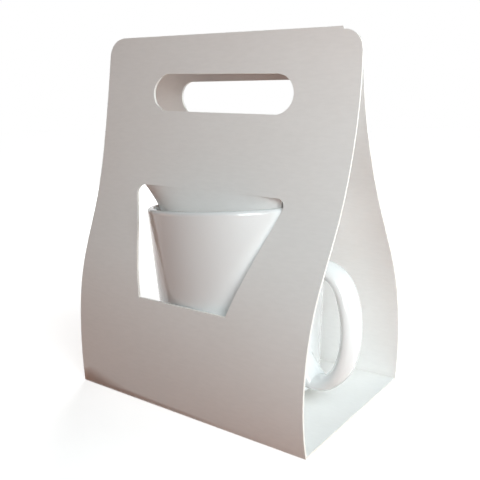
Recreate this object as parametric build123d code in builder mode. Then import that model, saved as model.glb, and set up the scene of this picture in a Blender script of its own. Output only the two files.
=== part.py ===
from build123d import *
from math import acos, atan, cos, pi, radians, sin, sqrt, tan
import os

# A mug gift box: one sheet of white card, folded up round a mug with two creases.
# The two panels bow out over the mug, lean together and end in a handle slot each.
# A flap cut out of each panel goes down inside the mug and keeps it in the box.
# X runs along the panels with the mug's handle at +X, Y runs from the front panel
# to the back one, Z is up, and the origin is under the middle of the base.

# Mug
rim_radius = 43.5
foot_radius = 37.1
mug_height = 88.5
mug_wall = 3.6
mug_floor = 5.0
foot_round = 3.0
foot_recess = 1.5
foot_ring = 6.5
inner_round = 8.0
rim_round = 1.7
mug_shift_x = 5.5
mug_shift_y = -2.0
mug_lean_left = 3.5
mug_lean_back = 2.2
rest_gap = 0.05

# Mug handle
handle_width = 13.0
handle_thickness = 7.0
handle_top = 59.5
handle_turn = 7.4
handle_root = 1.8
handle_flare = 3.5

# The handle leaves the wall in a short straight that climbs, bends round in four
# arcs, each a radius and a turn in degrees, and comes back to the wall level, in an
# arm that grows upwards and a little wider
handle_climb = 22.0
handle_straight = 1.2
handle_bends = [(15.0, 94.0), (45.0, 40.0), (22.0, 33.0), (13.0, 35.0)]
arm_root_height = 21.0
arm_root_width = 15.0

# Card and its two panels
card = 1.1
flap_skin = 0.9
panel_width = 132.0
side_room = 1.5
base_depth = 2 * (rim_radius + side_room)
fold_round = 0.75
crease_bite = 0.1
top_corner = 8.0

front_rise = 169.4
front_top_distance = 10.1
back_rise = 166.9
back_top_distance = 2.8

# How the bent card stands, at five places up each panel: share of the rise, share
# of the lean towards the middle, and what the right-hand edge has more than the
# centre line in mm: further in, lower down. The last value slides both edges to +X.
front_bend = [
    (0.155, -0.032, -0.9, -0.2, -0.1),
    (0.358, 0.156, 0.8, 0.7, 0.0),
    (0.545, 0.581, 3.7, 2.2, 0.2),
    (0.743, 0.877, 5.9, 3.1, 0.8),
    (1.000, 1.000, 4.1, 1.9, 2.3),
]
back_bend = [
    (0.157, -0.036, -0.5, 0.0, 0.0),
    (0.361, 0.144, 0.0, 0.2, 0.0),
    (0.547, 0.534, 1.2, 0.6, 0.1),
    (0.741, 0.852, 2.5, 0.9, 0.1),
    (1.000, 1.000, 3.5, 0.7, 0.4),
]

# Handle slot, measured along the flat sheet
slot_length = 74.0
slot_height = 17.2
slot_from_top = 25.6
slot_end_depth = 7.6

# Window and flap, measured along the flat sheet
window_bottom = 50.5
window_bottom_half = 25.3
slit_room = 1.4
hinge_above_rim = 7.1
window_round = 3.6
flap_room = 1.2
flap_spread = 64.0
flap_edge_drop = 5.0
flap_drop = 0.94
flap_grid = 8
flap_crowding = 1.4
flap_curl = 4.5
surface_fit = 0.08

# The mug stands a little tilted: its axis leans to the left and to the back
lean_x = -sin(radians(mug_lean_left))
lean_y = sin(radians(mug_lean_back))
mug_axis = Vector(lean_x, lean_y, sqrt(1 - lean_x**2 - lean_y**2))
mug_tilt = acos(mug_axis.Z)
lowest_foot = (foot_radius - foot_round) * sin(mug_tilt) + foot_round * (1 - cos(mug_tilt))
mug_foot = Vector(mug_shift_x, mug_shift_y, card + rest_gap + lowest_foot)
mug_stand = Plane(origin=mug_foot, x_dir=(1, 0, 0), z_dir=mug_axis)


def mug_outside(height):
    return foot_radius + (rim_radius - foot_radius) * height / mug_height


def mug_inside(height):
    return mug_outside(height) - mug_wall


# A line up a bent panel, from the crease to its top edge. side is -1 in front and 1
# behind; hand is -1 for the left-hand edge, 0 for the centre line and 1 for the right.
def panel_line(side, hand, rise, top_distance, bend):
    crease = base_depth / 2 - card / 2
    points = [(hand * panel_width / 2, side * crease, card - crease_bite)]
    for up, lean, further_in, lower, slide in bend:
        inward = lean * (crease - top_distance) + hand * further_in
        points.append((hand * panel_width / 2 + slide, side * (crease - inward), up * rise - hand * lower))
    with BuildLine() as line:
        Spline(*points)
    return line.line.edge()


front_lines = [panel_line(-1, hand, front_rise, front_top_distance, front_bend) for hand in (-1, 0, 1)]
back_lines = [panel_line(1, hand, back_rise, back_top_distance, back_bend) for hand in (-1, 0, 1)]


# How much of the sheet lies between the crease and a height above the table
def sheet_below(centre_line, height):
    return centre_line.split(Plane.XY.offset(height), keep=Keep.BOTTOM).length


# Both windows have one size: they are as wide at the rim as the nearer card needs
rim_centre = mug_stand.from_local_coords(Vector(0, 0, mug_height))
rim_along = 0
hinge_along = 0
card_to_axis = rim_radius
for side, lines in ((-1, front_lines), (1, back_lines)):
    rim = mug_stand.from_local_coords(Vector(0, side * rim_radius, mug_height))
    rim_along = max(rim_along, sheet_below(lines[1], rim.Z))
    hinge_along = max(hinge_along, sheet_below(lines[1], rim.Z + hinge_above_rim))
    card_at_rim = lines[1] @ (sheet_below(lines[1], rim.Z) / lines[1].length)
    card_to_axis = min(card_to_axis, side * (card_at_rim.Y - rim_centre.Y))
window_rim_half = sqrt(rim_radius**2 - card_to_axis**2) + slit_room
window_flare = (window_rim_half - window_bottom_half) / (rim_along - window_bottom)
window_top_half = window_bottom_half + window_flare * (hinge_along - window_bottom)
hinge_half = window_top_half - window_round / tan((pi / 2 - atan(window_flare)) / 2)


def make_panel(side, lines):
    left, _, right = lines

    # A point of the flat sheet, where the bent panel carries it
    def on_sheet(across, along):
        start = left @ (along / left.length)
        end = right @ (along / right.length)
        return start + (end - start) * (across / panel_width + 0.5)

    # The same point seen square on, for cutting the openings
    def seen(across, along, out=0, up=0):
        point = on_sheet(across, along)
        return (point.X + out, point.Z + up)

    top = left.length
    with BuildPart() as panel:
        thicken(Face.make_surface_from_curves(left, right), amount=card / 2, both=True)
        with BuildSketch(Plane.XZ) as corners:
            for hand in (-1, 1):
                with BuildLine():
                    side_end = seen(hand * panel_width / 2, top - top_corner)
                    top_end = seen(hand * (panel_width / 2 - top_corner), top)
                    Polyline(
                        side_end,
                        seen(hand * panel_width / 2, top - top_corner, out=hand * top_corner),
                        seen(hand * panel_width / 2, top, out=hand * top_corner, up=top_corner),
                        seen(hand * (panel_width / 2 - top_corner), top, up=top_corner),
                        top_end,
                    )
                    TangentArc(top_end, side_end, tangent=(hand, 0))
                make_face()
        extrude(amount=base_depth, both=True, mode=Mode.SUBTRACT)
        with BuildSketch(Plane.XZ) as window:
            with BuildLine():
                Polyline(
                    seen(-window_bottom_half, window_bottom),
                    seen(window_bottom_half, window_bottom),
                    seen(window_top_half, hinge_along),
                    seen(-window_top_half, hinge_along),
                    close=True,
                )
            make_face()
            fillet(window.vertices().sort_by(Axis.Y)[-2:], radius=window_round)
        extrude(amount=base_depth, both=True, mode=Mode.SUBTRACT)
        middle = top - slot_from_top
        straight = slot_length / 2 - slot_end_depth
        with BuildSketch(Plane.XZ) as slot:
            with BuildLine():
                Line(seen(-straight, middle - slot_height / 2), seen(straight, middle - slot_height / 2))
                ThreePointArc(
                    seen(straight, middle - slot_height / 2),
                    seen(slot_length / 2, middle),
                    seen(straight, middle + slot_height / 2),
                )
                Line(seen(straight, middle + slot_height / 2), seen(-straight, middle + slot_height / 2))
                ThreePointArc(
                    seen(-straight, middle + slot_height / 2),
                    seen(-slot_length / 2, middle),
                    seen(-straight, middle - slot_height / 2),
                )
            make_face()
        extrude(amount=base_depth, both=True, mode=Mode.SUBTRACT)
        add(make_flap(side, on_sheet))
    return panel.part


# The flap hangs from the straight top of the window, between three lines: its two
# cut edges, which bend sharply in past the mug's wall, and its gentler middle. It
# leaves the panel almost flat, with its sides curled, and ends as round as the mug.
def make_flap(side, on_sheet):
    flap_length = hinge_along - window_bottom
    end_height = mug_height + hinge_above_rim - flap_drop * flap_length

    def in_mug(turn, height, room):
        reach = mug_inside(height) - room
        return mug_stand.from_local_coords(
            Vector(reach * sin(turn), side * reach * cos(turn), height)
        )

    root = hinge_along + card / 2
    end_turn = window_bottom_half / (mug_inside(end_height) - flap_room)
    middle_way = on_sheet(0, root - card) - on_sheet(0, root)
    with BuildLine() as middle_line:
        Spline(on_sheet(0, root), in_mug(0, end_height, flap_room), tangents=(middle_way, (0, 0, -1)))
    middle = middle_line.line.edge()
    cut_edges = []
    for hand in (-1, 1):
        with BuildLine() as edge_line:
            Spline(
                on_sheet(hand * hinge_half, root),
                in_mug(hand * radians(flap_spread), mug_height - flap_edge_drop, 2 * flap_room),
                in_mug(hand * end_turn, end_height, flap_room),
                tangents=((0.3 * hand, -0.8 * side, -0.55), (-0.2 * hand, 0, -1)),
            )
        cut_edges.append(edge_line.line.edge())
    rows = []
    for step in range(flap_grid + 1):
        down = (step / flap_grid) ** flap_crowding
        start, centre, end = cut_edges[0] @ down, middle @ down, cut_edges[1] @ down
        bow = (start + end) / 2 - centre
        curl = flap_curl + (2 - flap_curl) * step / flap_grid
        shares = [2 * place / flap_grid - 1 for place in range(flap_grid + 1)]
        rows.append([centre + (end - start) * (share / 2) + bow * abs(share) ** curl for share in shares])
    with BuildPart() as flap:
        surface = Face.make_surface_from_array_of_points(rows, tol=surface_fit)
        thicken(surface, amount=flap_skin / 2, both=True)
    return flap.part


front_panel = make_panel(-1, front_lines)
back_panel = make_panel(1, back_lines)

with BuildPart() as carton:
    with BuildSketch(Plane.YZ) as base:
        with Locations((0, card / 2)):
            Rectangle(base_depth, card)
        fillet(base.vertices().group_by(Axis.Y)[0], radius=fold_round)
    extrude(amount=panel_width / 2, both=True)
    add(front_panel)
    add(back_panel)
carton.part.label = "carton"

# The mug: a tapered body turned about its leaning axis, with a strap handle
handle_way = Vector(cos(radians(handle_turn)), -sin(radians(handle_turn)), 0)
handle_side = (handle_way - mug_axis * handle_way.dot(mug_axis)).normalized()
mug_profile = Plane(origin=mug_foot, x_dir=-handle_side, z_dir=mug_axis.cross(handle_side))
handle_plane = Plane(origin=mug_foot, x_dir=handle_side, z_dir=handle_side.cross(mug_axis))

with BuildPart() as mug:
    with BuildSketch(mug_profile) as wall:
        with BuildLine():
            Polyline(
                (0, foot_recess),
                (foot_radius - foot_ring - foot_recess, foot_recess),
                (foot_radius - foot_ring, 0),
                (foot_radius, 0),
                (rim_radius, mug_height),
                (rim_radius - mug_wall, mug_height),
                (mug_inside(mug_floor), mug_floor),
                (0, mug_floor),
                close=True,
            )
        make_face()
        fillet(wall.vertices().sort_by(Axis.Y)[-2:], radius=rim_round)
        fillet(wall.vertices().sort_by_distance((foot_radius, 0))[0], radius=foot_round)
        fillet(wall.vertices().sort_by_distance((mug_inside(mug_floor), mug_floor))[0], radius=inner_round)
    revolve(axis=Axis(mug_foot, mug_axis))

    # The handle's centre line, from inside the wall near the rim round to the foot
    with BuildLine(handle_plane) as path:
        start = (mug_outside(handle_top) - handle_root, handle_top)
        run = PolarLine(start, handle_root + handle_straight, handle_climb)
        for radius, turn in handle_bends:
            run = JernArc(run @ 1, run % 1, radius, -turn)
    handle_path = path.wires()[0]
    with BuildSketch(Plane(origin=handle_path @ 0, x_dir=handle_plane.z_dir, z_dir=handle_path % 0)):
        Ellipse(handle_width / 2, handle_thickness / 2)
    sweep(path=handle_path)

    # The lower arm, from the handle's end to a taller root on the wall
    arm = handle_plane.to_local_coords(handle_path @ 1)
    arm_rise = (arm_root_height - handle_thickness) / 2
    arm_root = handle_plane.from_local_coords((mug_outside(arm.Y) - handle_root, arm.Y + arm_rise))
    with BuildSketch(Plane(origin=handle_path @ 1, x_dir=handle_plane.z_dir, z_dir=-handle_side)):
        Ellipse(handle_width / 2, handle_thickness / 2)
    with BuildSketch(Plane(origin=arm_root, x_dir=handle_plane.z_dir, z_dir=-handle_side)):
        Ellipse(arm_root_width / 2, arm_root_height / 2)
    loft()
    fillet(mug.edges().filter_by(GeomType.BSPLINE), radius=handle_flare)
mug.part.label = "mug"

os.makedirs("parts", exist_ok=True)
export_step(carton.part, "parts/carton.step")
export_step(mug.part, "parts/mug.step")
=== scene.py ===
import math

import bpy
from mathutils import Matrix, Vector

# A mug gift box of folded white card with a glazed mug in it, on a plain pale floor

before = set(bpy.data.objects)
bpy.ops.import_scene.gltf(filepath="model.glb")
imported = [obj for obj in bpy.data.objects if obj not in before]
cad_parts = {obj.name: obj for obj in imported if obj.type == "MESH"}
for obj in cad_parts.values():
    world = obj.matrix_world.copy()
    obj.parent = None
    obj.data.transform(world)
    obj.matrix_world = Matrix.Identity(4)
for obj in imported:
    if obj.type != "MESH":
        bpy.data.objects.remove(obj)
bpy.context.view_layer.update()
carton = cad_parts["carton"]
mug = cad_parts["mug"]
print("frame loaded:", ", ".join(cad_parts))


# Small helpers for node trees

def addNode(tree, kind, x=0, y=0, **values):
    node = tree.nodes.new(kind)
    node.location = (x, y)
    for key, value in values.items():
        setattr(node, key, value)
    return node


# A socket takes another node's output, or a plain value
def feed(tree, socket, source):
    if hasattr(source, "is_output"):
        tree.links.new(source, socket)
    else:
        socket.default_value = source


def feedAll(tree, node, **sources):
    for name, source in sources.items():
        feed(tree, node.inputs[name], source)


def addMath(tree, x, y, operation, *sources):
    node = addNode(tree, "ShaderNodeMath", x, y, operation=operation)
    for socket, source in zip(node.inputs, sources):
        feed(tree, socket, source)
    return node.outputs[0]


def addRange(tree, x, y, source, span, low=0.0, high=1.0, kind="SMOOTHSTEP"):
    node = addNode(tree, "ShaderNodeMapRange", x, y, interpolation_type=kind)
    feedAll(tree, node, **{"From Min": span[0], "From Max": span[1], "To Min": low, "To Max": high})
    feed(tree, node.inputs["Value"], source)
    return node.outputs["Result"]


def addMix(tree, x, y, factor, first, second, blend="MIX"):
    node = addNode(tree, "ShaderNodeMix", x, y, data_type="RGBA", blend_type=blend)
    feedAll(tree, node, Factor=factor, A=first, B=second)
    return node.outputs["Result"]


def addNoise(tree, x, y, place, scale, detail):
    node = addNode(tree, "ShaderNodeTexNoise", x, y)
    feedAll(tree, node, Vector=place, Scale=scale, Detail=detail)
    return node.outputs["Fac"]


def addBump(tree, x, y, height, distance, strength):
    node = addNode(tree, "ShaderNodeBump", x, y)
    feedAll(tree, node, Height=height, Distance=distance, Strength=strength)
    return node.outputs["Normal"]


def emptyTree(owner):
    owner.use_nodes = True
    owner.node_tree.nodes.clear()
    return owner.node_tree


def newMaterial(name):
    material = bpy.data.materials.new(name)
    tree = emptyTree(material)
    output = addNode(tree, "ShaderNodeOutputMaterial", 900, 0)
    shader = addNode(tree, "ShaderNodeBsdfPrincipled", 600, 0)
    feed(tree, output.inputs["Surface"], shader.outputs["BSDF"])
    return material, tree, shader


def newGroup(name, inputs, outputs):
    group = bpy.data.node_groups.new(name, "ShaderNodeTree")
    for label, kind, value in inputs:
        socket = group.interface.new_socket(name=label, in_out="INPUT", socket_type=kind)
        if value is not None:
            socket.default_value = value
    for label, kind in outputs:
        group.interface.new_socket(name=label, in_out="OUTPUT", socket_type=kind)
    return group, addNode(group, "NodeGroupInput", -900), addNode(group, "NodeGroupOutput", 700)


def dress(piece, material):
    piece.data.materials.clear()
    piece.data.materials.append(material)


# Soft blotches of a colour: how a surface is never quite one tone

noiseSpan = (0.3, 0.7)  # where most of a noise's values lie
wholeSpan = (0.0, 1.0)


def makeMottleGroup():
    group, start, end = newGroup(
        "softMottle",
        [
            ("Vector", "NodeSocketVector", None),
            ("Light", "NodeSocketColor", (0.9, 0.9, 0.9, 1)),
            ("Dark", "NodeSocketColor", (0.8, 0.8, 0.8, 1)),
            ("Scale", "NodeSocketFloat", 30.0),
            ("Detail", "NodeSocketFloat", 4.0),
        ],
        [("Color", "NodeSocketColor"), ("Mask", "NodeSocketFloat")],
    )
    given = start.outputs
    noise = addNoise(group, -600, 0, given["Vector"], given["Scale"], given["Detail"])
    mask = addRange(group, -350, 0, noise, noiseSpan, kind="LINEAR")
    blotches = addMix(group, 0, 0, mask, given["Dark"], given["Light"])
    feedAll(group, end, Color=blotches, Mask=mask)
    return group


mottleGroup = makeMottleGroup()


def addMottle(tree, x, y, place, light, dark, scale, detail):
    node = addNode(tree, "ShaderNodeGroup", x, y, node_tree=mottleGroup)
    feedAll(tree, node, Vector=place, Light=light, Dark=dark, Scale=scale, Detail=detail)
    return node.outputs["Color"], node.outputs["Mask"]


# Card: soft uncoated board with faint fibres, a paler raw core where it is cut, and
# patchy darkening along the two folds at the base, within a few millimetres of the floor

card = {
    "light": (0.905, 0.9, 0.89, 1),
    "dark": (0.885, 0.878, 0.865, 1),
    "mottleScale": 35.0,
    "mottleDetail": 6.0,
    "roughness": (0.5, 0.62),
    "specular": 0.35,
    "sheen": 0.06,
    "fibreStretch": (0.25, 1.0, 1.0),
    "fibreScale": 900.0,
    "fibreDetail": 5.0,
    "fibreHeight": 0.00002,  # lengths are in metres
    "fibreStrength": 0.6,
    "fibreTone": 0.975,
    "coreLight": (0.93, 0.915, 0.885, 1),
    "coreDark": (0.88, 0.86, 0.82, 1),
    "coreScale": 400.0,
    "coreDetail": 2.0,
    "cutDullness": 0.3,
    "sideTurn": (0.55, 0.75),  # how far a face looks sideways where it is a cut
    "topTurn": (0.8, 0.9),  # and how far up or down
    "aboveBase": (0.012, 0.02),
    "foldTone": (0.8, 0.785, 0.76, 1),
    "foldHeight": (0.0008, 0.004),
    "foldPlace": (0.041, 0.0445),
    "foldScale": 260.0,
    "foldDetail": 2.0,
}


# Where the sheet is cut: faces that look to either side, or up or down above the base
def cutMask(tree, place):
    faces = addNode(tree, "ShaderNodeNewGeometry", -1500, -700)
    turn = addNode(tree, "ShaderNodeSeparateXYZ", -1300, -700)
    spot = addNode(tree, "ShaderNodeSeparateXYZ", -1300, -900)
    feed(tree, turn.inputs[0], faces.outputs["Normal"])
    feed(tree, spot.inputs[0], place)
    eitherSide = addMath(tree, -1100, -700, "ABSOLUTE", turn.outputs["X"])
    upOrDown = addMath(tree, -1100, -900, "ABSOLUTE", turn.outputs["Z"])
    sideways = addRange(tree, -900, -700, eitherSide, card["sideTurn"])
    upwards = addRange(tree, -900, -900, upOrDown, card["topTurn"])
    above = addRange(tree, -900, -1100, spot.outputs["Z"], card["aboveBase"])
    upper = addMath(tree, -700, -900, "MULTIPLY", upwards, above)
    return addMath(tree, -500, -700, "MAXIMUM", sideways, upper)


# Where the sheet is folded up from the base, darkened in patches near the floor
def foldMask(tree, place):
    spot = addNode(tree, "ShaderNodeSeparateXYZ", -1300, -1400)
    feed(tree, spot.inputs[0], place)
    frontOrBack = addMath(tree, -1100, -1500, "ABSOLUTE", spot.outputs["Y"])
    low = addRange(tree, -900, -1300, spot.outputs["Z"], card["foldHeight"], 1.0, 0.0)
    outer = addRange(tree, -900, -1500, frontOrBack, card["foldPlace"])
    foldPatches = addNoise(tree, -1100, -1700, place, card["foldScale"], card["foldDetail"])
    along = addMath(tree, -700, -1300, "MULTIPLY", low, outer)
    return addMath(tree, -500, -1300, "MULTIPLY", along, foldPatches)


def makeCardMaterial():
    material, tree, shader = newMaterial("whiteCard")
    place = addNode(tree, "ShaderNodeTexCoord", -1700, 0).outputs["Object"]
    face, mottle = addMottle(tree, -500, 300, place, card["light"], card["dark"],
                             card["mottleScale"], card["mottleDetail"])
    core = addMottle(tree, -500, 100, place, card["coreLight"], card["coreDark"],
                     card["coreScale"], card["coreDetail"])[0]

    # Fibres lie mostly along the sheet, so the noise is drawn out along X
    along = addNode(tree, "ShaderNodeMapping", -700, -300)
    feedAll(tree, along, Vector=place, Scale=card["fibreStretch"])
    fibre = addNoise(tree, -500, -300, along.outputs["Vector"], card["fibreScale"], card["fibreDetail"])
    bump = addBump(tree, 200, -300, fibre, card["fibreHeight"], card["fibreStrength"])
    tone = addRange(tree, -250, -450, fibre, noiseSpan, card["fibreTone"])

    cut = cutMask(tree, place)
    toned = addMix(tree, -100, 300, 1.0, face, tone, "MULTIPLY")
    folded = addMix(tree, 100, 300, foldMask(tree, place), toned, card["foldTone"])
    gloss = addRange(tree, 0, -100, mottle, wholeSpan, *card["roughness"], kind="LINEAR")
    feedAll(tree, shader, **{
        "Base Color": addMix(tree, 300, 300, cut, folded, core),
        "Roughness": addMath(tree, 200, -100, "MULTIPLY_ADD", cut, card["cutDullness"], gloss),
        "Normal": bump,
        "Specular IOR Level": card["specular"],
        "Sheen Weight": card["sheen"],
    })
    return material


dress(carton, makeCardMaterial())
print("card made")


# Glaze: white stoneware under a clear gloss, bare where the foot ring was wiped

glaze = {
    "light": (0.83, 0.85, 0.858, 1),
    "dark": (0.81, 0.826, 0.83, 1),
    "mottleScale": 22.0,
    "mottleDetail": 3.0,
    "roughness": (0.1, 0.17),
    "coat": 0.35,
    "coatRoughness": 0.06,
    "waveScale": 60.0,
    "waveDetail": 1.0,
    "waveHeight": 0.00006,  # lengths are in metres
    "waveStrength": 0.5,
    "foot": (0.0055, -0.002, 0.0037),  # the middle of the foot ring, and the way up from it
    "axis": (-0.061, 0.0384, 0.9974),
    "bareTop": (0.0008, 0.0013),
    "bareLight": (0.8, 0.76, 0.7, 1),
    "bareDark": (0.7, 0.65, 0.58, 1),
    "bareScale": 300.0,
    "bareDetail": 4.0,
    "bareDullness": 0.6,
}


# Height up the leaning mug from its foot ring
def heightUpMug(tree, place):
    fromFoot = addNode(tree, "ShaderNodeVectorMath", -700, -600, operation="SUBTRACT")
    height = addNode(tree, "ShaderNodeVectorMath", -500, -600, operation="DOT_PRODUCT")
    feed(tree, fromFoot.inputs[0], place)
    feed(tree, fromFoot.inputs[1], glaze["foot"])
    feed(tree, height.inputs[0], fromFoot.outputs["Vector"])
    feed(tree, height.inputs[1], glaze["axis"])
    return height.outputs["Value"]


def makeGlazeMaterial():
    material, tree, shader = newMaterial("whiteGlaze")
    place = addNode(tree, "ShaderNodeTexCoord", -900, 0).outputs["Object"]
    white, mottle = addMottle(tree, -500, 200, place, glaze["light"], glaze["dark"],
                              glaze["mottleScale"], glaze["mottleDetail"])
    bare = addMottle(tree, -500, 400, place, glaze["bareLight"], glaze["bareDark"],
                     glaze["bareScale"], glaze["bareDetail"])[0]

    # The glaze lies in very slight waves, and was wiped off the foot ring
    wave = addNoise(tree, -500, -300, place, glaze["waveScale"], glaze["waveDetail"])
    bump = addBump(tree, 200, -300, wave, glaze["waveHeight"], glaze["waveStrength"])
    height = heightUpMug(tree, place)
    glazed = addRange(tree, -250, -600, height, glaze["bareTop"])
    dull = addRange(tree, 0, -600, height, glaze["bareTop"], glaze["bareDullness"], 0.0)
    gloss = addRange(tree, 0, -100, mottle, wholeSpan, *glaze["roughness"], kind="LINEAR")
    feedAll(tree, shader, **{
        "Base Color": addMix(tree, 200, 300, glazed, bare, white),
        "Roughness": addMath(tree, 200, -100, "ADD", gloss, dull),
        "Normal": bump,
        "Coat Weight": addRange(tree, 0, -800, height, glaze["bareTop"], 0.0, glaze["coat"]),
        "Coat Roughness": glaze["coatRoughness"],
    })
    return material


dress(mug, makeGlazeMaterial())
print("glaze made")


# Camera, fitted to the box's corners

view = {
    "place": (0.17868, -0.23745, 0.13774),
    "right": (0.80531, 0.59254, -0.01914),
    "up": (-0.11014, 0.18125, 0.97725),
    "forward": (-0.58253, 0.78488, -0.21122),
    "lens": 46.57,
    "sensor": 36,
}


def makeCamera():
    data = bpy.data.cameras.new("camera")
    data.lens = view["lens"]
    data.sensor_width = view["sensor"]
    camera = bpy.data.objects.new("camera", data)
    bpy.context.scene.collection.objects.link(camera)
    right, up, forward = Vector(view["right"]), Vector(view["up"]), Vector(view["forward"])
    turn = Matrix((right, up, -forward)).transposed().to_4x4()
    camera.matrix_world = Matrix.Translation(view["place"]) @ turn
    bpy.context.scene.camera = camera


makeCamera()
print("camera set")


# Floor and world

stage = {
    "floorSize": 6.0,
    "bouncedColour": (0.42, 0.17, 0.1, 1),
    "shownColour": (0.8, 0.8, 0.8, 1),
    "nearGlow": 0.62,
    "farGlow": 1.0,
    "fade": (0.1, 0.5),
    "worldColour": (1, 1, 1, 1),
}


# 1 for rays that show the floor or the world, straight on, in gloss or through glass,
# and 0 for those that only carry light to the box
def seenRays(tree, x, y):
    path = addNode(tree, "ShaderNodeLightPath", x, y).outputs
    seen = addMath(tree, x + 200, y, "MAXIMUM", path["Is Camera Ray"], path["Is Glossy Ray"])
    return addMath(tree, x + 400, y, "MAXIMUM", seen, path["Is Transmission Ray"])


# The floor is pale where it is seen and glows to white away from the box, so that the
# box's shadow stays faint. The light that it bounces up at the box is warm
def makeFloor():
    bpy.ops.mesh.primitive_plane_add(size=stage["floorSize"], location=(0, 0, 0))
    floor = bpy.context.object
    floor.name = "floor"
    material = bpy.data.materials.new("floorPaper")
    tree = emptyTree(material)
    output = addNode(tree, "ShaderNodeOutputMaterial", 900, 0)
    mix = addNode(tree, "ShaderNodeMixShader", 600, 0)
    shown = addNode(tree, "ShaderNodeAddShader", 300, -200)
    bounced = addNode(tree, "ShaderNodeBsdfDiffuse", 0, 100)
    bright = addNode(tree, "ShaderNodeBsdfDiffuse", 0, -100)
    glow = addNode(tree, "ShaderNodeEmission", 0, -300)
    place = addNode(tree, "ShaderNodeTexCoord", -700, -500)
    away = addNode(tree, "ShaderNodeVectorMath", -500, -500, operation="LENGTH")
    feed(tree, away.inputs[0], place.outputs["Object"])
    fade = addRange(tree, -250, -500, away.outputs["Value"], stage["fade"],
                    stage["nearGlow"], stage["farGlow"])
    feedAll(tree, bounced, Color=stage["bouncedColour"])
    feedAll(tree, bright, Color=stage["shownColour"])
    feedAll(tree, glow, Strength=fade)
    feed(tree, shown.inputs[0], bright.outputs[0])
    feed(tree, shown.inputs[1], glow.outputs[0])
    feed(tree, mix.inputs["Fac"], seenRays(tree, -300, 400))
    feed(tree, mix.inputs[1], bounced.outputs[0])
    feed(tree, mix.inputs[2], shown.outputs[0])
    feed(tree, output.inputs["Surface"], mix.outputs[0])
    floor.data.materials.append(material)


# The world is white where it is seen, also in reflections, and lights nothing itself
def makeWorld():
    world = bpy.data.worlds.new("studio")
    tree = emptyTree(world)
    output = addNode(tree, "ShaderNodeOutputWorld", 600, 0)
    white = addNode(tree, "ShaderNodeBackground", 300, 0)
    feedAll(tree, white, Color=stage["worldColour"], Strength=seenRays(tree, -500, 0))
    feed(tree, output.inputs["Surface"], white.outputs[0])
    bpy.context.scene.world = world


# Window light from the handle's side and a little in front, a small cool lamp above it
# and one low beside the handle, a weak warm one from the front left and a plain one
# from behind. Each looks at the box from a turn round it, where 0 is the handle's side
# and -90 the front, and from a height above the table, both in degrees
lamps = {
    "window": {"turn": -30, "height": 16, "far": 0.8, "size": 0.45,
               "power": 2.6, "colour": (1.0, 1.0, 0.98)},
    "high": {"turn": -36, "height": 30, "far": 0.42, "size": 0.2,
             "power": 0.67, "colour": (0.86, 0.97, 1.0)},
    "side": {"turn": 20, "height": 2, "far": 0.3, "size": 0.2,
             "power": 0.52, "colour": (0.85, 0.98, 1.0)},
    "room": {"turn": -150, "height": 4, "far": 0.8, "size": 0.45,
             "power": 0.62, "colour": (1.0, 0.62, 0.45)},
    "behind": {"turn": 124, "height": 26, "far": 0.8, "size": 0.45,
               "power": 3.9, "colour": (1.0, 0.98, 0.96)},
}
lampAim = Vector((0, 0, 0.08))


def makeLamps():
    for name, lamp in lamps.items():
        data = bpy.data.lights.new(name, "AREA")
        data.shape = "DISK"
        data.size = lamp["size"]
        data.energy = lamp["power"]
        data.color = lamp["colour"]
        light = bpy.data.objects.new(name, data)
        bpy.context.scene.collection.objects.link(light)
        turn, height = math.radians(lamp["turn"]), math.radians(lamp["height"])
        level = math.cos(height)
        way = Vector((math.cos(turn) * level, math.sin(turn) * level, math.sin(height)))
        light.location = lampAim + way * lamp["far"]
        light.rotation_euler = (-way).to_track_quat("-Z", "Y").to_euler()


makeFloor()
makeWorld()
makeLamps()
bpy.context.scene.view_settings.view_transform = "Standard"
print("stage and lamps set")
